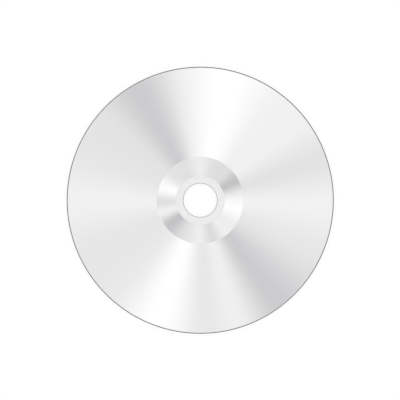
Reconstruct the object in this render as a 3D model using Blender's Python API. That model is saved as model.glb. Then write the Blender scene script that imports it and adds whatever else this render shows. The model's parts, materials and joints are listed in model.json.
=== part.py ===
"""Compact disc, 120 mm across, lying label side up.

The disc is one injection moulding in clear polycarbonate. Its label side carries a silver
coating a few hundredths of a millimetre thick (reflective film, lacquer and silver print),
which stops short of the clear hub and of the clear rim. The section, from the hole outwards:

  label side   hub land, step up to the coating, stamper groove, coating edge, rim land
  edge         rounded corners round an upright wall
  read side    flat playing face, stacking ring that the disc stands on, flat clamping face

The section is drawn once, in the XZ plane, and spun about the Z axis. The origin is on the
axis, level with the crest of the stacking ring, and +Z points out of the label side.
"""

import math

import bmesh
import bpy
from mathutils import Vector

MM = 0.001

# Whole disc
DISC_DIAMETER = 120.0 * MM
DISC_THICKNESS = 1.2 * MM  # playing face to the top of the coating
RIM_CORNER_RADIUS = 0.2 * MM
HOLE_DIAMETER = 15.0 * MM
HOLE_CHAMFER = 0.15 * MM

# Label side
COATING_INNER_DIAMETER = 22.0 * MM
COATING_THICKNESS = 0.03 * MM
CLEAR_RIM_WIDTH = 0.6 * MM  # bare polycarbonate outside the coating
COATING_EDGE_RUN = 0.03 * MM  # how far the coating's outer edge feathers out
HUB_LAND_DROP = 0.08 * MM  # top of the coating down to the bare hub
HUB_STEP_RUN = 0.12 * MM
STAMPER_GROOVE_DIAMETER = 39.1 * MM
STAMPER_GROOVE_WIDTH = 0.5 * MM
STAMPER_GROOVE_DEPTH = 0.05 * MM

# Read side
CLAMPING_FACE_DIAMETER = 33.0 * MM  # flat seat for the drive's clamp, kept clear of the ring
STACKING_RING_GAP = 0.5 * MM  # clamping face to the foot of the stacking ring
STACKING_RING_HEIGHT = 0.2 * MM
STACKING_RING_CREST_WIDTH = 0.5 * MM
STACKING_RING_FLANK_RUN = 0.3 * MM
STACKING_RING_CREST_RADIUS = 0.08 * MM

# Fineness of the faceted surface
TURN_STEPS = 120
CORNER_STEPS = 4
CREST_STEPS = 3
GROOVE_STEPS = 6
SHARP_EDGE_ANGLE = math.radians(20.0)

# Heights of the main faces
PLAYING_FACE_Z = STACKING_RING_HEIGHT
COATING_TOP_Z = PLAYING_FACE_Z + DISC_THICKNESS
RIM_LAND_Z = COATING_TOP_Z - COATING_THICKNESS
HUB_LAND_Z = COATING_TOP_Z - HUB_LAND_DROP

# Radii that several features share
DISC_RADIUS = DISC_DIAMETER / 2
HOLE_RADIUS = HOLE_DIAMETER / 2
COATING_INNER_RADIUS = COATING_INNER_DIAMETER / 2
COATING_OUTER_RADIUS = DISC_RADIUS - CLEAR_RIM_WIDTH
STAMPER_GROOVE_RADIUS = STAMPER_GROOVE_DIAMETER / 2

# Colours, each with its roughness and how metallic it is
CLEAR_POLYCARBONATE = ("clear_polycarbonate", (0.83, 0.84, 0.86), 0.08, 0.0)
SILVER_MIRROR_BAND = ("silver_mirror_band", (0.76, 0.77, 0.78), 0.28, 1.0)
SILVER_TRACK_AREA = ("silver_track_area", (0.81, 0.82, 0.83), 0.3, 1.0)
FINISHES = (CLEAR_POLYCARBONATE, SILVER_MIRROR_BAND, SILVER_TRACK_AREA)


def arc(centre, radius, start, end, steps):
    """Points on a circle in the section, from one angle to another, both ends included."""
    points = []
    for step in range(steps + 1):
        angle = start + (end - start) * step / steps
        points.append((centre[0] + radius * math.cos(angle), centre[1] + radius * math.sin(angle)))
    return points


def hub_land():
    """Label side of the clear hub, from the hole's chamfer to the foot of the coating."""
    return [
        (HOLE_RADIUS, HUB_LAND_Z - HOLE_CHAMFER),
        (HOLE_RADIUS + HOLE_CHAMFER, HUB_LAND_Z),
        (COATING_INNER_RADIUS - HUB_STEP_RUN, HUB_LAND_Z),
        (COATING_INNER_RADIUS, COATING_TOP_Z),
    ]


def stamper_groove():
    """Shallow round-bottomed ring that the stamper's holder leaves round the mirror band."""
    half_width = STAMPER_GROOVE_WIDTH / 2
    depth = STAMPER_GROOVE_DEPTH
    radius = (half_width**2 + depth**2) / (2 * depth)
    centre = (STAMPER_GROOVE_RADIUS, COATING_TOP_Z + radius - depth)
    half_angle = math.asin(half_width / radius)
    straight_down = -math.pi / 2
    return arc(centre, radius, straight_down - half_angle, straight_down + half_angle, GROOVE_STEPS)


def rim():
    """Coating edge, bare rim land and the disc's upright edge with its two rounded corners."""
    # At most, the corners take two thirds of the edge's height and half of the rim land.
    corner = min(RIM_CORNER_RADIUS, (RIM_LAND_Z - PLAYING_FACE_Z) / 3, CLEAR_RIM_WIDTH / 2)
    centre_radius = DISC_RADIUS - corner
    upper = arc((centre_radius, RIM_LAND_Z - corner), corner, math.pi / 2, 0.0, CORNER_STEPS)
    lower = arc((centre_radius, PLAYING_FACE_Z + corner), corner, 0.0, -math.pi / 2, CORNER_STEPS)
    coating_edge = [
        (COATING_OUTER_RADIUS, COATING_TOP_Z),
        (COATING_OUTER_RADIUS + COATING_EDGE_RUN, RIM_LAND_Z),
    ]
    return coating_edge + upper + lower


def stacking_ring():
    """Raised ring under the disc, just outside the clamping face, with a flat crest."""
    inner_foot = CLAMPING_FACE_DIAMETER / 2 + STACKING_RING_GAP
    inner_crest = inner_foot + STACKING_RING_FLANK_RUN
    outer_crest = inner_crest + STACKING_RING_CREST_WIDTH
    outer_foot = outer_crest + STACKING_RING_FLANK_RUN
    flank_angle = math.atan2(STACKING_RING_HEIGHT, STACKING_RING_FLANK_RUN)
    radius = min(STACKING_RING_CREST_RADIUS, STACKING_RING_HEIGHT / 2)
    straight_down = -math.pi / 2
    # Each rounding is tangent to the crest and to its flank.
    outer_centre = (outer_crest - radius * math.tan(flank_angle / 2), radius)
    inner_centre = (inner_crest + radius * math.tan(flank_angle / 2), radius)
    outer_corner = arc(outer_centre, radius, straight_down + flank_angle, straight_down, CREST_STEPS)
    inner_corner = arc(inner_centre, radius, straight_down, straight_down - flank_angle, CREST_STEPS)
    return (
        [(outer_foot, PLAYING_FACE_Z)]
        + outer_corner
        + inner_corner
        + [(inner_foot, PLAYING_FACE_Z)]
    )


def hole_foot():
    """Read side's chamfer into the centre hole. The hole's wall closes the section."""
    return [
        (HOLE_RADIUS + HOLE_CHAMFER, PLAYING_FACE_Z),
        (HOLE_RADIUS, PLAYING_FACE_Z + HOLE_CHAMFER),
    ]


def section():
    """The disc's whole section as one closed outline of (radius, height) points."""
    return hub_land() + stamper_groove() + rim() + stacking_ring() + hole_foot()


def finish_index(face):
    """Which of FINISHES a face wears, from where its middle lies."""
    middle = face.calc_center_median()
    radius = Vector((middle.x, middle.y)).length
    on_label_side = middle.z > (PLAYING_FACE_Z + RIM_LAND_Z) / 2
    if not on_label_side or not COATING_INNER_RADIUS <= radius <= COATING_OUTER_RADIUS:
        return FINISHES.index(CLEAR_POLYCARBONATE)
    if radius < STAMPER_GROOVE_RADIUS:
        return FINISHES.index(SILVER_MIRROR_BAND)
    return FINISHES.index(SILVER_TRACK_AREA)


def make_material(name, colour, roughness, metallic):
    """A Principled material with one plain colour."""
    material = bpy.data.materials.new(name)
    material.use_nodes = True
    shader = material.node_tree.nodes["Principled BSDF"]
    shader.inputs["Base Color"].default_value = (*colour, 1.0)
    shader.inputs["Roughness"].default_value = roughness
    shader.inputs["Metallic"].default_value = metallic
    material.diffuse_color = (*colour, 1.0)
    return material


def make_disc():
    """Spins the section a full turn about Z and gives each zone its finish."""
    spun = bmesh.new()
    corners = [spun.verts.new((radius, 0.0, height)) for radius, height in section()]
    next_corners = corners[1:] + corners[:1]
    edges = [spun.edges.new(ends) for ends in zip(corners, next_corners)]
    bmesh.ops.spin(
        spun,
        geom=corners + edges,
        cent=(0.0, 0.0, 0.0),
        axis=(0.0, 0.0, 1.0),
        angle=math.tau,
        steps=TURN_STEPS,
        use_merge=True,
    )
    bmesh.ops.recalc_face_normals(spun, faces=spun.faces)
    for face in spun.faces:
        face.material_index = finish_index(face)

    mesh = bpy.data.meshes.new("disc")
    spun.to_mesh(mesh)
    spun.free()
    for finish in FINISHES:
        mesh.materials.append(make_material(*finish))
    mesh.shade_smooth()
    mesh.set_sharp_from_angle(angle=SHARP_EDGE_ANGLE)

    disc = bpy.data.objects.new("disc", mesh)
    bpy.context.scene.collection.objects.link(disc)
    return disc


def main():
    for leftover in list(bpy.data.objects):
        bpy.data.objects.remove(leftover)
    make_disc()


main()
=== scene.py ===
"""Compact disc, 120 mm across, dressed for the camera.

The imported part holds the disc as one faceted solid. Light passes through its polycarbonate
and not through its coating, so here the same section is turned finely, as two pieces:

  clear_moulding   the polycarbonate, seen at the hub, at the rim and from below
  silver_coating   reflective film, lacquer and silver print on the label side

Both ride on the part's one body. Lengths are in metres, +Z points out of the label side, and
the origin is on the axis, level with the crest of the stacking ring that the disc rests on.
"""

import json
import logging
import math
from abc import ABC, abstractmethod
from collections.abc import Sequence
from dataclasses import dataclass
from enum import Enum, IntEnum
from typing import Union

import bmesh
import bpy
from mathutils.kdtree import KDTree
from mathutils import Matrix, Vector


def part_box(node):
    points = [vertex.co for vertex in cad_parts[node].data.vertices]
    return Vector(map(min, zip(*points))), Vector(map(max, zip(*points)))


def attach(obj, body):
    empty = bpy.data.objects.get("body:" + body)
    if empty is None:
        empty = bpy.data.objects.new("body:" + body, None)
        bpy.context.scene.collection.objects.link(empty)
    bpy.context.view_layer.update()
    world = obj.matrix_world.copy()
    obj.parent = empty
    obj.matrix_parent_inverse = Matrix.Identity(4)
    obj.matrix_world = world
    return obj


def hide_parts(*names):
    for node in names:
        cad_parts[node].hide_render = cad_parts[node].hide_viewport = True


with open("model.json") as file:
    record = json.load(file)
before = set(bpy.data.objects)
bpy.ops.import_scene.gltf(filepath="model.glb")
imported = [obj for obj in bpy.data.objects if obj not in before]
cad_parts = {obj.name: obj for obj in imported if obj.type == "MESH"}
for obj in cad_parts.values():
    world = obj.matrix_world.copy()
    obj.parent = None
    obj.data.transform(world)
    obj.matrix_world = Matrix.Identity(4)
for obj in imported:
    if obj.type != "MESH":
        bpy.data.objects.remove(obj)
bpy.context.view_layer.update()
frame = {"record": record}  # the imported record

LOG = logging.getLogger("compact_disc")

MM = 0.001
CENTRE = (0.0, 0.0, 0.0)
WHITE = (1.0, 1.0, 1.0, 1.0)

# Fineness of the turned pieces
TURN_STEPS = 360
MERGE_DISTANCE = 0.002 * MM  # joins the last ring of a section to the first
PLACE_TOLERANCE = 0.005 * MM  # within which a point counts as on a ring
SMOOTH_ANGLE = math.radians(17.0)  # rim facets turn 15 degrees, the groove's lips 20

Socket = bpy.types.NodeSocket
Operand = Union[Socket, float]
ColourOperand = Union[Socket, Sequence[float]]
PlainValue = Union[float, Sequence[float]]
Value = Union[Socket, PlainValue]
Colour = tuple[float, float, float]


@dataclass(frozen=True)
class Station:
    """One ring of a turned piece: how far it lies from the axis, and how high."""

    radius: float
    height: float

    def holds(self, point: Sequence[float]) -> bool:
        """Tells whether a point lies on this ring.

        Args:
            point: the point's X, Y and Z.

        Returns:
            True if it does.
        """
        off_radius = abs(math.hypot(point[0], point[1]) - self.radius)
        off_height = abs(point[2] - self.height)
        return max(off_radius, off_height) < PLACE_TOLERANCE


@dataclass(frozen=True)
class Wedge:
    """A soft wedge round the axis, strongest at its azimuth."""

    azimuth: float  # degrees round from +X
    spread: float  # degrees to each side, where it has faded out
    gain: float  # what it adds at its azimuth


class Course(Enum):
    """Which way fine scratches run, as the name of the node group that draws them."""

    RINGS = "ring grain"
    RAYS = "ray grain"


@dataclass(frozen=True)
class Grain:
    """Faint unevenness of a surface: fine scratches, and broad bands of them."""

    course: Course
    fine_width: float  # of a scratch, in metres for rings and in radians for rays
    broad_width: float  # of a band, the same way

    @property
    def rotation(self) -> float:
        """Turns by which highlights are rotated, so that they spread across the scratches."""
        return 0.25 if self.course is Course.RINGS else 0.0


MOULD_MARKS = Grain(Course.RINGS, fine_width=0.4 * MM, broad_width=8.0 * MM)
TRACK_GRAIN = Grain(Course.RINGS, fine_width=0.25 * MM, broad_width=5.0 * MM)
BAND_GRAIN = Grain(Course.RAYS, fine_width=math.radians(1.0), broad_width=math.radians(12.0))
GRAIN_DETAIL = 3.0  # octaves of noise

# Light and dark wedges of sheen painted into the silver's colour, beside the real sheen from the studio
# panels
PAINTED_SHEEN_WEDGES = (
    Wedge(azimuth=0.0, spread=32.0, gain=0.08),
    Wedge(azimuth=16.0, spread=20.0, gain=-0.08),
    Wedge(azimuth=38.0, spread=22.0, gain=0.1),
    Wedge(azimuth=82.0, spread=40.0, gain=0.14),
    Wedge(azimuth=117.0, spread=18.0, gain=-0.12),
    Wedge(azimuth=137.0, spread=12.0, gain=0.04),
    Wedge(azimuth=181.0, spread=24.0, gain=0.07),
    Wedge(azimuth=250.0, spread=22.0, gain=0.125),
    Wedge(azimuth=269.0, spread=12.0, gain=-0.035),
    Wedge(azimuth=290.0, spread=17.0, gain=0.18),
    Wedge(azimuth=310.0, spread=26.0, gain=-0.12),
)

# Soft panels and dark flags that stand round the disc, in pairs on either side of it
STUDIO_PANELS = (
    Wedge(azimuth=0.0, spread=24.0, gain=0.08),
    Wedge(azimuth=180.0, spread=24.0, gain=0.08),
    Wedge(azimuth=72.0, spread=36.0, gain=0.22),
    Wedge(azimuth=252.0, spread=34.0, gain=0.22),
    Wedge(azimuth=122.0, spread=26.0, gain=-0.24),
    Wedge(azimuth=305.0, spread=26.0, gain=-0.24),
)

# Wedges of rainbow reflection painted onto the read side, where the tracks would throw it, and the
# spectrum across each
PAINTED_RAINBOW_WEDGES = (
    Wedge(azimuth=35.0, spread=40.0, gain=0.5),
    Wedge(azimuth=128.0, spread=30.0, gain=0.35),
    Wedge(azimuth=214.0, spread=42.0, gain=0.5),
    Wedge(azimuth=306.0, spread=28.0, gain=0.35),
)
VIOLET = (0.36, 0.24, 0.72)
BLUE = (0.16, 0.42, 0.86)
TURQUOISE = (0.14, 0.72, 0.72)
GREEN = (0.34, 0.80, 0.28)
YELLOW = (0.90, 0.82, 0.22)
ORANGE = (0.94, 0.48, 0.16)
RED = (0.86, 0.20, 0.26)
SPECTRUM = (VIOLET, BLUE, TURQUOISE, GREEN, YELLOW, ORANGE, RED)


class Wiring:
    """Adds nodes to one node tree and links them."""

    def __init__(self, tree: bpy.types.NodeTree) -> None:
        """Keeps the tree that the nodes go into."""
        self.tree = tree

    def node(self, kind: str, **settings: object) -> bpy.types.Node:
        """Adds one node.

        Args:
            kind: its type, as Blender names it.
            settings: attributes to set on it.

        Returns:
            The node.
        """
        node = self.tree.nodes.new(kind)
        for name, value in settings.items():
            setattr(node, name, value)
        return node

    def feed(self, target: Socket, value: Value) -> None:
        """Links a socket into another, or sets its plain value.

        Args:
            target: the socket that takes the value.
            value: a socket, a number, a vector or a colour.
        """
        if isinstance(value, bpy.types.NodeSocket):
            self.tree.links.new(value, target)
        else:
            target.default_value = value

    def maths(self, operation: str, *operands: Operand) -> Socket:
        """Adds a Math node.

        Args:
            operation: its operation, as Blender names it.
            operands: sockets or numbers, in the node's order.

        Returns:
            The socket with the result.
        """
        node = self.node("ShaderNodeMath", operation=operation)
        for target, value in zip(node.inputs, operands):
            self.feed(target, value)
        return node.outputs[0]

    def ramp(self, value: Operand, start: Operand, end: Operand, low: Operand, high: Operand) -> Socket:
        """Adds a smooth ramp from low, where value is start, to high, where it is end.

        Args:
            value: what the ramp follows.
            start: the value at the ramp's foot.
            end: the value at its top.
            low: the result at the foot.
            high: the result at the top.

        Returns:
            The socket with the result.
        """
        node = self.node("ShaderNodeMapRange", interpolation_type="SMOOTHSTEP")
        for target, given in zip(node.inputs, (value, start, end, low, high)):
            self.feed(target, given)
        return node.outputs["Result"]

    def scaled(self, colour: ColourOperand, factor: Operand) -> Socket:
        """Adds a colour times a number.

        Args:
            colour: three numbers or a socket.
            factor: what to multiply them by.

        Returns:
            The socket with the product.
        """
        node = self.node("ShaderNodeVectorMath", operation="SCALE")
        self.feed(node.inputs[0], colour)
        self.feed(node.inputs["Scale"], factor)
        return node.outputs[0]

    def mixed(self, first: ColourOperand, second: ColourOperand, share: Operand) -> Socket:
        """Adds a mix of two colours.

        Args:
            first: the colour where the share is 0.
            second: the colour where it is 1.
            share: how much of the second to take.

        Returns:
            The socket with the mix.
        """
        node = self.node("ShaderNodeMix", data_type="RGBA")
        colours = [socket for socket in node.inputs if socket.type == "RGBA"]
        for target, value in zip((node.inputs["Factor"], *colours), (share, first, second)):
            self.feed(target, value)
        return next(socket for socket in node.outputs if socket.type == "RGBA")

    def noise(self, place: Operand, dimensions: str, width: Operand) -> Socket:
        """Adds a noise texture.

        Args:
            place: what the noise varies over, a vector or, for 1D, a number.
            dimensions: 1D or 3D.
            width: how far it takes to vary once, in the place's unit.

        Returns:
            The socket with its value, about 0.5 on average.
        """
        node = self.node("ShaderNodeTexNoise", noise_dimensions=dimensions)
        self.feed(node.inputs["W" if dimensions == "1D" else "Vector"], place)
        self.feed(node.inputs["Scale"], self.maths("DIVIDE", 1.0, width))
        node.inputs["Detail"].default_value = GRAIN_DETAIL
        return node.outputs["Fac"]

    def group(self, name: str, **values: Value) -> bpy.types.Node:
        """Places a node group.

        Args:
            name: the group's name.
            values: its inputs, by name, with underscores for spaces.

        Returns:
            The group's node.
        """
        node = self.node("ShaderNodeGroup", node_tree=bpy.data.node_groups[name])
        for socket, value in values.items():
            self.feed(node.inputs[socket.replace("_", " ")], value)
        return node


class Group(Wiring):
    """A shader node group under construction, whose sockets are plain numbers unless named here."""

    KINDS = {"Place": "NodeSocketVector", "Colour": "NodeSocketColor"}

    def __init__(self, name: str, inputs: Sequence[str], outputs: Sequence[str]) -> None:
        """Starts the group.

        Args:
            name: its name.
            inputs: names of its inputs.
            outputs: names of its outputs.
        """
        super().__init__(bpy.data.node_groups.new(name, "ShaderNodeTree"))
        for names, direction in ((inputs, "INPUT"), (outputs, "OUTPUT")):
            for socket in names:
                kind = self.KINDS.get(socket, "NodeSocketFloat")
                self.tree.interface.new_socket(socket, in_out=direction, socket_type=kind)
        self.given = self.node("NodeGroupInput").outputs
        self.result = self.node("NodeGroupOutput").inputs


def make_turned_place() -> None:
    """Makes the group that turns a place into its azimuth, in radians, and its radius."""
    group = Group("turned place", ["Place"], ["Azimuth", "Radius"])
    parts = group.node("ShaderNodeSeparateXYZ")
    group.feed(parts.inputs[0], group.given["Place"])
    x, y = parts.outputs["X"], parts.outputs["Y"]
    group.feed(group.result["Azimuth"], group.maths("ARCTAN2", y, x))
    squares = group.maths("MULTIPLY", x, x), group.maths("MULTIPLY", y, y)
    group.feed(group.result["Radius"], group.maths("SQRT", group.maths("ADD", *squares)))


def make_wedge() -> None:
    """Makes the group for one soft wedge: its strength, and how far across it a place lies."""
    group = Group("wedge", ["Azimuth", "Centre", "Spread", "Gain"], ["Strength", "Across"])
    turn = group.maths("SUBTRACT", group.given["Azimuth"], group.given["Centre"])
    nearest = group.maths("WRAP", turn, math.pi, -math.pi)
    distance = group.maths("ABSOLUTE", nearest)
    strength = group.ramp(distance, 0.0, group.given["Spread"], group.given["Gain"], 0.0)
    group.feed(group.result["Strength"], strength)
    group.feed(group.result["Across"], group.maths("DIVIDE", nearest, group.given["Spread"]))


def add_wedge(wiring: Wiring, azimuth: Socket, wedge: Wedge) -> bpy.types.Node:
    """Places the wedge group for one wedge.

    Args:
        wiring: where it goes.
        azimuth: the azimuth of the place that is shaded, in radians.
        wedge: the wedge.

    Returns:
        The group's node.
    """
    return wiring.group(
        "wedge",
        Azimuth=azimuth,
        Centre=math.radians(wedge.azimuth),
        Spread=math.radians(wedge.spread),
        Gain=wedge.gain,
    )


def make_wedges(name: str, wedges: Sequence[Wedge]) -> None:
    """Makes a group that adds up several wedges.

    Args:
        name: the group's name.
        wedges: the wedges.
    """
    group = Group(name, ["Azimuth"], ["Light"])
    total: Operand = 0.0
    for wedge in wedges:
        placed = add_wedge(group, group.given["Azimuth"], wedge)
        total = group.maths("ADD", placed.outputs["Strength"], total)
    group.feed(group.result["Light"], total)


def make_ring_grain() -> None:
    """Makes the group for the faint unevenness of rings round the axis, 0 to 1."""
    group = Group("ring grain", ["Place", "Fine Width", "Broad Width"], ["Fine", "Broad"])
    radius = group.group("turned place", Place=group.given["Place"]).outputs["Radius"]
    group.feed(group.result["Fine"], group.noise(radius, "1D", group.given["Fine Width"]))
    group.feed(group.result["Broad"], group.noise(radius, "1D", group.given["Broad Width"]))


def make_ray_grain() -> None:
    """Makes the group for the faint unevenness of rays out from the axis, 0 to 1."""
    group = Group("ray grain", ["Place", "Fine Width", "Broad Width"], ["Fine", "Broad"])
    flat = group.node("ShaderNodeVectorMath", operation="MULTIPLY")
    group.feed(flat.inputs[0], group.given["Place"])
    group.feed(flat.inputs[1], (1.0, 1.0, 0.0))  # leaves the height out
    direction = group.node("ShaderNodeVectorMath", operation="NORMALIZE")
    group.feed(direction.inputs[0], flat.outputs[0])
    way = direction.outputs[0]
    group.feed(group.result["Fine"], group.noise(way, "3D", group.given["Fine Width"]))
    group.feed(group.result["Broad"], group.noise(way, "3D", group.given["Broad Width"]))


def make_spectrum() -> None:
    """Makes the group that gives the spectrum's colour from violet, at 0, to red, at 1."""
    group = Group("spectrum", ["Share"], ["Colour"])
    ramp = group.node("ShaderNodeValToRGB")
    group.feed(ramp.inputs[0], group.given["Share"])
    stops = ramp.color_ramp.elements
    for index in range(1, len(SPECTRUM) - 1):
        stops.new(index / (len(SPECTRUM) - 1))
    for stop, colour in zip(stops, SPECTRUM):
        stop.color = (*colour, 1.0)
    group.feed(group.result["Colour"], ramp.outputs["Color"])


def make_groups() -> None:
    """Makes every node group that the finishes and the studio share."""
    make_turned_place()
    make_wedge()
    make_wedges("painted sheen", PAINTED_SHEEN_WEDGES)
    make_wedges("studio panels", STUDIO_PANELS)
    make_ring_grain()
    make_ray_grain()
    make_spectrum()


class Dressing(Wiring):
    """A material under construction, around its Principled shader."""

    def __init__(self, name: str) -> None:
        """Starts the material and finds the place that it shades.

        Args:
            name: the material's name.
        """
        self.material = bpy.data.materials.new(name)
        self.material.use_nodes = True
        self.material.use_backface_culling = True  # closed pieces show their outer sides only
        super().__init__(self.material.node_tree)
        self.shader = self.tree.nodes["Principled BSDF"]
        self.place = self.node("ShaderNodeTexCoord").outputs["Object"]
        self.turned = self.group("turned place", Place=self.place).outputs

    def set(self, **values: PlainValue) -> None:
        """Sets plain values on the shader.

        Args:
            values: input names, with underscores for spaces.
        """
        for name, value in values.items():
            self.shader.inputs[name.replace("_", " ")].default_value = value

    def grain(self, grain: Grain) -> bpy.types.Node:
        """Places a grain.

        Args:
            grain: which one.

        Returns:
            Its group's node, with the outputs Fine and Broad.
        """
        return self.group(
            grain.course.value,
            Place=self.place,
            Fine_Width=grain.fine_width,
            Broad_Width=grain.broad_width,
        )

    def varied(self, grain: Socket, middle: float, share: float) -> Socket:
        """Varies a number with a grain.

        Args:
            grain: the grain, 0 to 1.
            middle: the number in the middle of the grain's range.
            share: the share of it that the grain adds at 1, and takes away at 0.

        Returns:
            The socket with the number.
        """
        return self.maths("MULTIPLY_ADD", grain, 2 * share * middle, (1.0 - share) * middle)

    def roughen(self, grain: Socket, roughness: float, share: float, depth: float) -> None:
        """Varies the roughness with a grain and raises the grain as a bump.

        Args:
            grain: the grain, 0 to 1.
            roughness: the middle roughness.
            share: the share of it that the grain adds at 1, and takes away at 0.
            depth: the grain's height.
        """
        self.feed(self.shader.inputs["Roughness"], self.varied(grain, roughness, share))
        bump = self.node("ShaderNodeBump")
        bump.inputs["Distance"].default_value = depth
        self.feed(bump.inputs["Height"], grain)
        self.feed(self.shader.inputs["Normal"], bump.outputs[0])


class Finish(ABC):
    """What one zone of a piece is finished with."""

    @abstractmethod
    def material(self) -> bpy.types.Material:
        """Makes the finish's material."""


@dataclass(frozen=True)
class PaintedEdgeShade:
    """Ring of painted shade beside an edge of clear plastic, where less light comes through."""

    start: float  # radius where it starts to darken
    end: float  # radius where it is darkest
    share: float  # of the edge's full painted shade


@dataclass(frozen=True)
class ClearPlastic(Finish):
    """Clear moulded polycarbonate, with the mould's faint turning marks and painted shade at its edges.
    """

    name: str
    edges: Sequence[PaintedEdgeShade]
    # Grey partly the plastic's own and partly painted shade for the shadow seen beneath the hub.
    tint: Colour = (0.912, 0.915, 0.922)
    # Painted shade at the edges of the hole and the rim
    painted_shade_tint: Colour = (0.08, 0.082, 0.085)
    clearness: float = 1.0  # share of the light that it lets through without scattering it
    unevenness: float = 0.005  # share by which the tint varies from ring to ring
    roughness: float = 0.02
    roughness_swing: float = 0.5  # share by which the marks vary it
    marks: Grain = MOULD_MARKS
    mark_depth: float = 0.00004 * MM
    refraction: float = 1.585

    def material(self) -> bpy.types.Material:
        """Makes the finish.

        Returns:
            The material.
        """
        dressing = Dressing(self.name)
        marks = dressing.grain(self.marks).outputs
        colour = dressing.scaled(self.tint, dressing.varied(marks["Broad"], 1.0, self.unevenness))
        # Painted shade: dark rings beside the hole's wall and the rim's.
        for edge in self.edges:
            painted_shade_share = dressing.ramp(dressing.turned["Radius"], edge.start, edge.end, 0.0, edge.share)
            colour = dressing.mixed(colour, (*self.painted_shade_tint, 1.0), painted_shade_share)
        dressing.feed(dressing.shader.inputs["Base Color"], colour)
        dressing.roughen(marks["Fine"], self.roughness, self.roughness_swing, self.mark_depth)
        dressing.set(IOR=self.refraction, Transmission_Weight=self.clearness)
        return dressing.material


@dataclass(frozen=True)
class SilverFilm(Finish):
    """Satin silver under clear lacquer, with a fine grain that draws highlights out across it, and
    wedges of sheen painted into its colour.
    """

    name: str
    brightness: float
    grain: Grain
    unevenness: float = 0.004  # share by which the grain varies the brightness
    painted_sheen_turn: float = 0.0  # degrees by which the painted sheen's wedges are turned back
    painted_sheen_share: float = 1.0  # how strongly the painted sheen shows
    painted_shade_cast: Colour = (0.995, 1.0, 1.02)  # cool painted shade in the painted sheen's dark wedges
    painted_shade_gain: float = -0.12  # painted sheen gain at which a wedge has the whole painted shade
    roughness: float = 0.3
    roughness_swing: float = 0.05  # share by which the grain varies it
    grain_depth: float = 0.0001 * MM
    lacquer: float = 0.4
    lacquer_roughness: float = 0.1

    def uneven_brightness(self, dressing: Dressing, grain: bpy.types.Node) -> Socket:
        """Works out the film's brightness without its sheen.

        Args:
            dressing: the material under construction.
            grain: the film's grain group.

        Returns:
            The socket with the brightness.
        """
        return dressing.varied(grain.outputs["Broad"], self.brightness, self.unevenness)

    def base(self, dressing: Dressing, grain: bpy.types.Node) -> Socket:
        """Works out the film's colour over the surface, with the painted sheen and its cool painted
        shade.

        Args:
            dressing: the material under construction.
            grain: the film's grain group.

        Returns:
            The socket with the colour.
        """
        # Painted sheen: light and dark wedges in the colour, cooler in the dark ones as painted shade.
        azimuth = dressing.maths("ADD", dressing.turned["Azimuth"], math.radians(self.painted_sheen_turn))
        light = dressing.group("painted sheen", Azimuth=azimuth).outputs["Light"]
        painted_sheen = dressing.maths("MULTIPLY_ADD", light, self.painted_sheen_share, 1.0)
        brightness = dressing.maths("MULTIPLY", painted_sheen, self.uneven_brightness(dressing, grain))
        painted_shade_share = dressing.ramp(light, 0.0, self.painted_shade_gain, 0.0, 1.0)
        return dressing.scaled(dressing.mixed(WHITE, (*self.painted_shade_cast, 1.0), painted_shade_share), brightness)

    def material(self) -> bpy.types.Material:
        """Makes the finish.

        Returns:
            The material.
        """
        dressing = Dressing(self.name)
        grain = dressing.grain(self.grain)
        dressing.feed(dressing.shader.inputs["Base Color"], self.base(dressing, grain))
        dressing.roughen(grain.outputs["Fine"], self.roughness, self.roughness_swing, self.grain_depth)
        tangent = dressing.node("ShaderNodeTangent", direction_type="RADIAL", axis="Z")
        dressing.feed(dressing.shader.inputs["Tangent"], tangent.outputs[0])
        dressing.set(
            Metallic=1.0,
            Anisotropic=1.0,
            Anisotropic_Rotation=self.grain.rotation,
            Coat_Weight=self.lacquer,
            Coat_Roughness=self.lacquer_roughness,
        )
        return dressing.material


@dataclass(frozen=True)
class ReadFilm(SilverFilm):
    """The same film from below, with the spectrum that its tracks split light into painted into its
    colour.
    """

    unevenness: float = 0.01
    roughness: float = 0.2
    first_track: float = 22.5 * MM
    last_track: float = 58.2 * MM
    track_edge: float = 0.3 * MM
    drift: float = 6.0  # how much of the spectrum goes by over a metre of radius
    drift_middle: float = 40.0 * MM  # radius where the middle of a wedge is mid-spectrum
    mid_spectrum: float = 0.5

    def base(self, dressing: Dressing, grain: bpy.types.Node) -> Socket:
        """Works out the film's colour over the surface, with painted rainbow wedges over the tracks.

        Args:
            dressing: the material under construction.
            grain: the film's grain group.

        Returns:
            The socket with the colour.
        """
        radius = dressing.turned["Radius"]
        offset = self.mid_spectrum - self.drift * self.drift_middle
        drift = dressing.maths("MULTIPLY_ADD", radius, self.drift, offset)
        first, last, edge = self.first_track, self.last_track, self.track_edge
        inside = dressing.ramp(radius, first, first + edge, 0.0, 1.0)
        outside = dressing.ramp(radius, last - edge, last, 1.0, 0.0)
        tracks = dressing.maths("MULTIPLY", inside, outside)
        colour = dressing.scaled(WHITE[:3], self.uneven_brightness(dressing, grain))
        # Painted reflection: the tracks' rainbow wedges.
        for wedge in PAINTED_RAINBOW_WEDGES:
            placed = add_wedge(dressing, dressing.turned["Azimuth"], wedge).outputs
            # Half of what runs from -1 to 1 across the wedge is one whole spectrum.
            across = dressing.maths("MULTIPLY_ADD", placed["Across"], 0.5, drift)
            spectrum = dressing.group("spectrum", Share=across).outputs["Colour"]
            strength = dressing.maths("MULTIPLY", placed["Strength"], tracks)
            colour = dressing.mixed(colour, spectrum, strength)
        return colour


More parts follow.
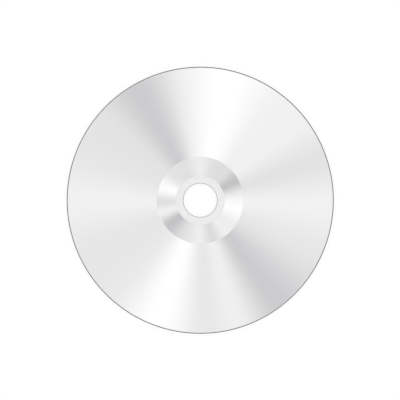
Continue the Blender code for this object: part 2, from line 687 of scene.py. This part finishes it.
def arc(centre: Station, radius: float, start: float, end: float, steps: int) -> list[Station]:
    """Lists stations on a circle in the section.

    Args:
        centre: the circle's centre.
        radius: its radius.
        start: angle of the first station, from +radius towards +height.
        end: angle of the last one.
        steps: how many steps lie between them.

    Returns:
        The stations, both ends included.
    """
    angles = [start + (end - start) * step / steps for step in range(steps + 1)]
    return [
        Station(centre.radius + radius * math.cos(angle), centre.height + radius * math.sin(angle))
        for angle in angles
    ]


def level(start: float, end: float, height: float, steps: int) -> list[Station]:
    """Lists stations along a flat face, evenly spaced.

    Args:
        start: radius of the first station.
        end: radius of the last one.
        height: the face's height.
        steps: how many steps lie between them.

    Returns:
        The stations, both ends included.
    """
    return [Station(start + (end - start) * step / steps, height) for step in range(steps + 1)]


@dataclass
class TurnedPiece(ABC):
    """A piece turned about the Z axis, ring by ring."""

    name: str

    @abstractmethod
    def section(self) -> list[Station]:
        """Lists the closed section, from the hole outwards over the label side and back below."""

    @abstractmethod
    def finishes(self) -> dict[IntEnum, Finish]:
        """Lists the finish of each zone."""

    @abstractmethod
    def zone_of(self, face: bpy.types.MeshPolygon) -> IntEnum:
        """Tells which zone a face lies in."""

    def turn(self) -> bpy.types.Object:
        """Extrudes one ring along the section and closes it on itself.

        Returns:
            The piece, with its faces pointing outwards.
        """
        stations = self.section()
        bpy.ops.object.select_all(action="DESELECT")
        bpy.ops.mesh.primitive_circle_add(
            vertices=TURN_STEPS,
            radius=stations[0].radius,
            fill_type="NOTHING",
            calc_uvs=False,
            location=CENTRE,
        )
        piece = bpy.context.active_object
        piece.name = piece.data.name = self.name
        bpy.ops.object.mode_set(mode="EDIT")
        bpy.ops.transform.translate(value=(0.0, 0.0, stations[0].height))
        for last, station in zip(stations, stations[1:] + stations[:1]):
            rise = (0.0, 0.0, station.height - last.height)
            growth = station.radius / last.radius
            bpy.ops.mesh.extrude_edges_move(TRANSFORM_OT_translate={"value": rise})
            bpy.ops.transform.resize(value=(growth, growth, 1.0), center_override=CENTRE)
        bpy.ops.mesh.select_all(action="SELECT")
        bpy.ops.mesh.remove_doubles(threshold=MERGE_DISTANCE)
        bpy.ops.mesh.normals_make_consistent(inside=False)
        bpy.ops.object.mode_set(mode="OBJECT")
        return piece

    def bevel(self, piece: bpy.types.Object, rings: Sequence[Station], width: float, steps: int) -> None:
        """Bevels the edges that lie on some rings.

        Args:
            piece: the turned piece.
            rings: where the edges lie.
            width: how far the bevel runs along each face.
            steps: 1 for a chamfer, more for a rounding.
        """
        bpy.ops.object.mode_set(mode="EDIT")
        bpy.ops.mesh.select_mode(type="EDGE")
        bpy.ops.mesh.select_all(action="DESELECT")
        mesh = bmesh.from_edit_mesh(piece.data)
        for edge in mesh.edges:
            if any(all(ring.holds(vertex.co) for vertex in edge.verts) for ring in rings):
                edge.select_set(True)
        bmesh.update_edit_mesh(piece.data)
        bpy.ops.mesh.bevel(offset=width, segments=steps, affect="EDGES")
        bpy.ops.object.mode_set(mode="OBJECT")

    def walk(self, piece: bpy.types.Object) -> list[bpy.types.MeshVertex]:
        """Lists the vertices of the finished section at +X, once round.

        Args:
            piece: the turned and bevelled piece.

        Returns:
            The vertices, from the hole outwards over the label side and back below.
        """
        vertices = piece.data.vertices
        beside: dict[int, list[int]] = {
            vertex.index: []
            for vertex in vertices
            if vertex.co.x > 0.0 and abs(vertex.co.y) < PLACE_TOLERANCE
        }
        for start, end in (edge.vertices for edge in piece.data.edges):
            if start in beside and end in beside:
                beside[start].append(end)
                beside[end].append(start)
        innermost = min(vertices[index].co.x for index in beside)
        at_hole = [index for index in beside if vertices[index].co.x < innermost + PLACE_TOLERANCE]
        route = [max(at_hole, key=lambda index: vertices[index].co.z)]
        route.append(max(beside[route[0]], key=lambda index: vertices[index].co.z))
        while len(route) < len(beside):
            route.append(next(index for index in beside[route[-1]] if index != route[-2]))
        return [vertices[index] for index in route]

    def unroll(self, piece: bpy.types.Object) -> None:
        """Gives the piece a map: U runs once round the axis, V once along the section.

        Args:
            piece: the turned and bevelled piece.
        """
        route = [vertex.co.xz for vertex in self.walk(piece)]
        steps = [(end - start).length for start, end in zip(route, route[1:] + route[:1])]
        shares = [sum(steps[:count]) / sum(steps) for count in range(len(steps))]
        rings = KDTree(len(route))
        for index, (radius, height) in enumerate(route):
            rings.insert((radius, height, 0.0), index)
        rings.balance()
        mesh = piece.data
        uv = mesh.uv_layers.new(name="OFBake").data
        for face in mesh.polygons:
            places = []
            for point in (mesh.vertices[index].co for index in face.vertices):
                _, ring, _ = rings.find((point.xy.length, point.z, 0.0))
                places.append([math.atan2(point.y, point.x) / math.tau % 1.0, shares[ring]])
            for axis in range(2):
                furthest = max(place[axis] for place in places)
                for place in places:
                    if furthest - place[axis] > 0.5:
                        # A face that closes the ring runs on past 1, not back across the map.
                        place[axis] += 1.0
            for loop, place in zip(face.loop_indices, places):
                uv[loop].uv = place

    def dress(self, piece: bpy.types.Object) -> None:
        """Shades the piece smooth and gives each face the finish of its zone.

        Args:
            piece: the turned and bevelled piece.
        """
        bpy.ops.object.shade_smooth_by_angle(angle=SMOOTH_ANGLE)
        finishes = self.finishes()
        for zone in sorted(finishes):
            piece.data.materials.append(finishes[zone].material())
        for face in piece.data.polygons:
            face.material_index = self.zone_of(face)


class PlasticZone(IntEnum):
    """Zones of the moulding, numbered as its material slots."""

    CLEAR = 0
    WALL = 1


@dataclass
class ClearMoulding(TurnedPiece):
    """The polycarbonate disc itself, without its coating."""

    outer_radius: float
    label_height: float  # top of the coating
    read_height: float
    coating_thickness: float = 0.03 * MM
    hole_radius: float = 7.5 * MM
    hole_chamfer: float = 0.15 * MM
    hole_shade_width: float = 0.32 * MM  # ring of painted shade at the hole, out from its wall
    hole_shade_share: float = 0.95  # how much of the plastic's painted edge shade it has
    hub_land_radius: float = 10.88 * MM
    hub_land_drop: float = 0.08 * MM  # top of the coating down to the bare hub
    hub_step_run: float = 0.075 * MM
    rim_land_width: float = 0.57 * MM
    rim_corner_radius: float = 0.2 * MM
    rim_corner_steps: int = 6
    rim_shade_width: float = 0.4 * MM  # ring of painted shade at the rim, in from its wall
    rim_shade_share: float = 1.0
    shade_run: float = 0.08 * MM  # over which both rings of painted shade darken
    wall_steepness: float = 0.75  # a face counts as wall if its normal rises less than this
    groove_radius: float = 19.55 * MM
    groove_width: float = 0.5 * MM
    groove_depth: float = 0.05 * MM
    groove_steps: int = 8
    ring_foot_radius: float = 17.0 * MM
    ring_flank_run: float = 0.3 * MM
    ring_crest_width: float = 0.5 * MM
    ring_corner_radius: float = 0.08 * MM
    ring_corner_steps: int = 3

    @property
    def coated_height(self) -> float:
        """Height of the label side under the coating, and of the bare rim land."""
        return self.label_height - self.coating_thickness

    @property
    def hub_height(self) -> float:
        """Height of the bare hub land."""
        return self.label_height - self.hub_land_drop

    @property
    def coating_foot_radius(self) -> float:
        """Where the coating starts, at the top of the step up from the hub land."""
        return self.hub_land_radius + self.hub_step_run

    @property
    def rim_land_radius(self) -> float:
        """Where the coating ends and the bare rim land starts."""
        return self.outer_radius - self.rim_land_width

    def groove(self, height: float) -> list[Station]:
        """Lists the stamper groove's round bottom, sunk into a face.

        Args:
            height: the face's height.

        Returns:
            The groove's stations, from its inner lip to its outer one.
        """
        half_width = self.groove_width / 2
        radius = (half_width**2 + self.groove_depth**2) / (2 * self.groove_depth)
        centre = Station(self.groove_radius, height + radius - self.groove_depth)
        half_angle = math.asin(half_width / radius)
        down = -math.pi / 2
        return arc(centre, radius, down - half_angle, down + half_angle, self.groove_steps)

    def ring_crest(self) -> list[Station]:
        """Lists the stacking ring's two crest corners, still sharp, the inner one first."""
        inner = self.ring_foot_radius + self.ring_flank_run
        return [Station(inner, 0.0), Station(inner + self.ring_crest_width, 0.0)]

    def rim_corners(self) -> list[Station]:
        """Lists the rim's two corners, still sharp, the upper one first."""
        heights = (self.coated_height, self.read_height)
        return [Station(self.outer_radius, height) for height in heights]

    def hole_corners(self) -> list[Station]:
        """Lists the hole's two corners, still sharp, the lower one first."""
        return [Station(self.hole_radius, height) for height in (self.read_height, self.hub_height)]

    def section(self) -> list[Station]:
        """Lists the closed section with its corners still sharp, from the hole's foot upwards.

        Returns:
            The stations, one for each ring.
        """
        inner_crest, outer_crest = self.ring_crest()
        return [
            *self.hole_corners(),
            Station(self.hub_land_radius, self.hub_height),
            Station(self.coating_foot_radius, self.coated_height),
            *self.groove(self.coated_height),
            Station(self.rim_land_radius, self.coated_height),
            *self.rim_corners(),
            Station(self.rim_land_radius, self.read_height),
            Station(outer_crest.radius + self.ring_flank_run, self.read_height),
            outer_crest,
            inner_crest,
            Station(self.ring_foot_radius, self.read_height),
        ]

    def painted_edge_shades(self) -> tuple[PaintedEdgeShade, PaintedEdgeShade]:
        """Places the rings of painted shade beside the hole's wall and the rim's.

        Returns:
            The two rings, the hole's first.
        """
        hole = self.hole_radius + self.hole_shade_width
        rim = self.outer_radius - self.rim_shade_width
        return (
            PaintedEdgeShade(hole, hole - self.shade_run, self.hole_shade_share),
            PaintedEdgeShade(rim, rim + self.shade_run, self.rim_shade_share),
        )

    def build(self) -> bpy.types.Object:
        """Turns the moulding, bevels its corners and dresses it.

        Returns:
            The finished piece.
        """
        piece = self.turn()
        self.bevel(piece, self.hole_corners(), self.hole_chamfer, 1)
        self.bevel(piece, self.rim_corners(), self.rim_corner_radius, self.rim_corner_steps)
        flank_angle = math.atan2(self.read_height, self.ring_flank_run)
        tangent_run = self.ring_corner_radius * math.tan(flank_angle / 2)
        self.bevel(piece, self.ring_crest(), tangent_run, self.ring_corner_steps)
        self.unroll(piece)
        self.dress(piece)
        return piece

    def finishes(self) -> dict[IntEnum, Finish]:
        """Lists the finish of each zone.

        Returns:
            The finishes, by zone.
        """
        return {
            PlasticZone.CLEAR: ClearPlastic("clear polycarbonate", edges=self.painted_edge_shades()),
            PlasticZone.WALL: ClearPlastic(
                "frosted wall with painted shade",
                edges=(),
                # The greyer tint is painted shade that darkens the walls; the roughness and scattering
                # are the frosting.
                tint=(0.7, 0.703, 0.71),
                clearness=0.7,
                roughness=0.15,
            ),
        }

    def zone_of(self, face: bpy.types.MeshPolygon) -> IntEnum:
        """Tells the walls of the hole and the rim from the flatter faces."""
        return PlasticZone.WALL if abs(face.normal.z) < self.wall_steepness else PlasticZone.CLEAR


class FilmZone(IntEnum):
    """Zones of the coating, numbered as its material slots."""

    TRACK_AREA = 0
    MIRROR_BAND = 1
    READ_SIDE = 2


@dataclass
class SilverCoating(TurnedPiece):
    """Reflective film, lacquer and silver print, as one thin ring on the label side."""

    moulding: ClearMoulding
    edge_run: float = 0.03 * MM  # how far its outer edge feathers out
    inner_edge_run: float = 0.045 * MM
    gap: float = 0.01 * MM  # to the moulding, so that no two faces lie on each other
    band_steps: int = 2
    track_steps: int = 10

    def section(self) -> list[Station]:
        """Lists the closed section, over the label side from hub to rim and back below.

        Returns:
            The stations, one for each ring.
        """
        groove = self.moulding.groove
        inner_lip, outer_lip = groove(0.0)[0].radius, groove(0.0)[-1].radius
        inner_foot, outer_foot = self.moulding.coating_foot_radius, self.moulding.rim_land_radius
        inner_edge, outer_edge = inner_foot + self.inner_edge_run, outer_foot - self.edge_run
        top, bottom = self.moulding.label_height, self.moulding.coated_height + self.gap
        return [
            *level(inner_edge, inner_lip, top, self.band_steps)[:-1],
            *groove(top),
            *level(outer_lip, outer_edge, top, self.track_steps)[1:],
            *level(outer_foot, outer_lip, bottom, self.track_steps)[:-1],
            *reversed(groove(bottom)),
            *level(inner_lip, inner_foot, bottom, self.band_steps)[1:],
        ]

    def build(self) -> bpy.types.Object:
        """Turns the coating and dresses it.

        Returns:
            The finished piece.
        """
        piece = self.turn()
        self.unroll(piece)
        self.dress(piece)
        return piece

    def finishes(self) -> dict[IntEnum, Finish]:
        """Lists the finish of each zone.

        Returns:
            The finishes, by zone.
        """
        return {
            FilmZone.TRACK_AREA: SilverFilm("silver track area", brightness=0.829, grain=TRACK_GRAIN),
            FilmZone.MIRROR_BAND: SilverFilm(
                "silver mirror band",
                brightness=0.781,
                grain=BAND_GRAIN,
                painted_sheen_turn=90.0,
                painted_sheen_share=1.45,
            ),
            FilmZone.READ_SIDE: ReadFilm("read side film", brightness=0.865, grain=TRACK_GRAIN),
        }

    def zone_of(self, face: bpy.types.MeshPolygon) -> IntEnum:
        """Tells which zone a face lies in.

        Args:
            face: the face.

        Returns:
            Its zone.
        """
        middle = (self.moulding.label_height + self.moulding.coated_height) / 2
        if face.normal.z < 0.0 and face.center.z < middle:
            return FilmZone.READ_SIDE
        if face.center.xy.length < self.moulding.groove_radius:
            return FilmZone.MIRROR_BAND
        return FilmZone.TRACK_AREA


@dataclass
class Studio:
    """White studio: plain floor, panels round the disc, and a camera straight above it."""

    disc_radius: float
    disc_top: float  # height of the label side
    floor_radius: float = 3.0
    floor_sides: int = 96
    floor_drop: float = 0.02 * MM  # below the crest, so that the two faces don't meet
    floor_whiteness: float = 0.2
    floor_glow: float = 0.81  # what the floor lacks of white, for camera, metal and glass
    panel_foot: tuple[float, float] = (0.1, 0.3)  # sines of the elevations where they rise
    panel_head: tuple[float, float] = (0.98, 0.9995)  # and where they end, round the zenith
    wall_foot: tuple[float, float] = (0.08, 0.26)  # the same for the greyer wall behind them
    wall_head: tuple[float, float] = (0.26, 0.5)
    wall_shade: float = 0.22  # how much darker it is than white
    lens: float = 100.0  # mm
    sensor: float = 36.0  # mm
    frame_pixels: float = 400.0
    disc_radius_pixels: float = 133.6
    disc_centre_pixels: tuple[float, float] = (200.25, 200.25)

    def floor(self) -> None:
        """Lays the floor that the disc rests on."""
        bpy.ops.object.select_all(action="DESELECT")
        bpy.ops.mesh.primitive_circle_add(
            vertices=self.floor_sides,
            radius=self.floor_radius,
            fill_type="NGON",
            location=(0.0, 0.0, -self.floor_drop),
        )
        floor = bpy.context.active_object
        floor.name = "studio_floor"
        dressing = Dressing("studio floor")
        dressing.set(
            Base_Color=(*[self.floor_whiteness] * 3, 1.0),
            Roughness=1.0,
            Specular_IOR_Level=0.0,
            Emission_Color=WHITE,
        )
        rays = dressing.node("ShaderNodeLightPath").outputs
        seen = dressing.maths("MAXIMUM", rays["Is Camera Ray"], rays["Is Glossy Ray"])
        seen = dressing.maths("MAXIMUM", seen, rays["Is Transmission Ray"])
        glow = dressing.maths("MULTIPLY", seen, self.floor_glow)
        dressing.feed(dressing.shader.inputs["Emission Strength"], glow)
        floor.data.materials.append(dressing.material)

    def belt(self, wiring: Wiring, foot: tuple[float, float], head: tuple[float, float]) -> Socket:
        """Adds a mask for a belt of the world round the disc.

        Args:
            wiring: the world's nodes.
            foot: sines of the elevations where it fades in.
            head: sines of the elevations where it fades out again.

        Returns:
            The socket with the mask, 1 within the belt.
        """
        parts = wiring.node("ShaderNodeSeparateXYZ")
        wiring.feed(parts.inputs[0], wiring.node("ShaderNodeTexCoord").outputs["Generated"])
        rise = wiring.ramp(parts.outputs["Z"], *foot, 0.0, 1.0)
        fall = wiring.ramp(parts.outputs["Z"], *head, 1.0, 0.0)
        return wiring.maths("MULTIPLY", rise, fall)

    def world(self) -> None:
        """Makes a white world, with the panels round the zenith and a greyer wall low down."""
        world = bpy.data.worlds.new("studio")
        bpy.context.scene.world = world
        world.use_nodes = True
        wiring = Wiring(world.node_tree)
        direction = wiring.node("ShaderNodeTexCoord").outputs["Generated"]
        azimuth = wiring.group("turned place", Place=direction).outputs["Azimuth"]
        panels = wiring.group("studio panels", Azimuth=azimuth).outputs["Light"]
        panel_belt = self.belt(wiring, self.panel_foot, self.panel_head)
        wall_belt = self.belt(wiring, self.wall_foot, self.wall_head)
        light = wiring.maths("MULTIPLY_ADD", panels, panel_belt, 1.0)
        light = wiring.maths("MULTIPLY_ADD", wall_belt, -self.wall_shade, light)
        wiring.feed(world.node_tree.nodes["Background"].inputs["Color"], light)

    def camera(self) -> None:
        """Sets a long lens straight above the disc."""
        pixel = self.disc_radius / self.disc_radius_pixels
        distance = pixel * self.frame_pixels * self.lens / self.sensor
        middle = self.frame_pixels / 2
        aside = (middle - self.disc_centre_pixels[0]) * pixel
        ahead = (self.disc_centre_pixels[1] - middle) * pixel
        bpy.ops.object.camera_add(location=(aside, ahead, self.disc_top + distance), rotation=CENTRE)
        camera = bpy.context.active_object
        camera.data.lens = self.lens
        camera.data.sensor_width = self.sensor
        bpy.context.scene.camera = camera

    def build(self) -> None:
        """Lays the floor, lights the disc and sets the camera."""
        self.floor()
        self.world()
        self.camera()


def mount_height(name: str) -> float:
    """Reads the height of one of the record's mounts."""
    return next(mount["pos_m"][2] for mount in frame["record"]["mounts"] if mount["name"] == name)


def main() -> None:
    """Builds the disc's two pieces and the studio."""
    logging.basicConfig(level=logging.INFO, format="%(name)s: %(message)s")
    bpy.context.scene.view_settings.view_transform = "Standard"
    make_groups()
    _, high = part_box("disc")
    read_height = mount_height("clamping_face_read_side")
    moulding = ClearMoulding("clear_moulding", high.x, label_height=high.z, read_height=read_height)
    coating = SilverCoating("silver_coating", moulding)
    for turned in (moulding, coating):
        piece = turned.build()
        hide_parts("disc")
        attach(piece, "root")
        LOG.info("%s: %d faces", piece.name, len(piece.data.polygons))
    Studio(disc_radius=high.x, disc_top=high.z).build()
    LOG.info("studio: floor, world and camera")


if __name__ == "__main__":
    main()
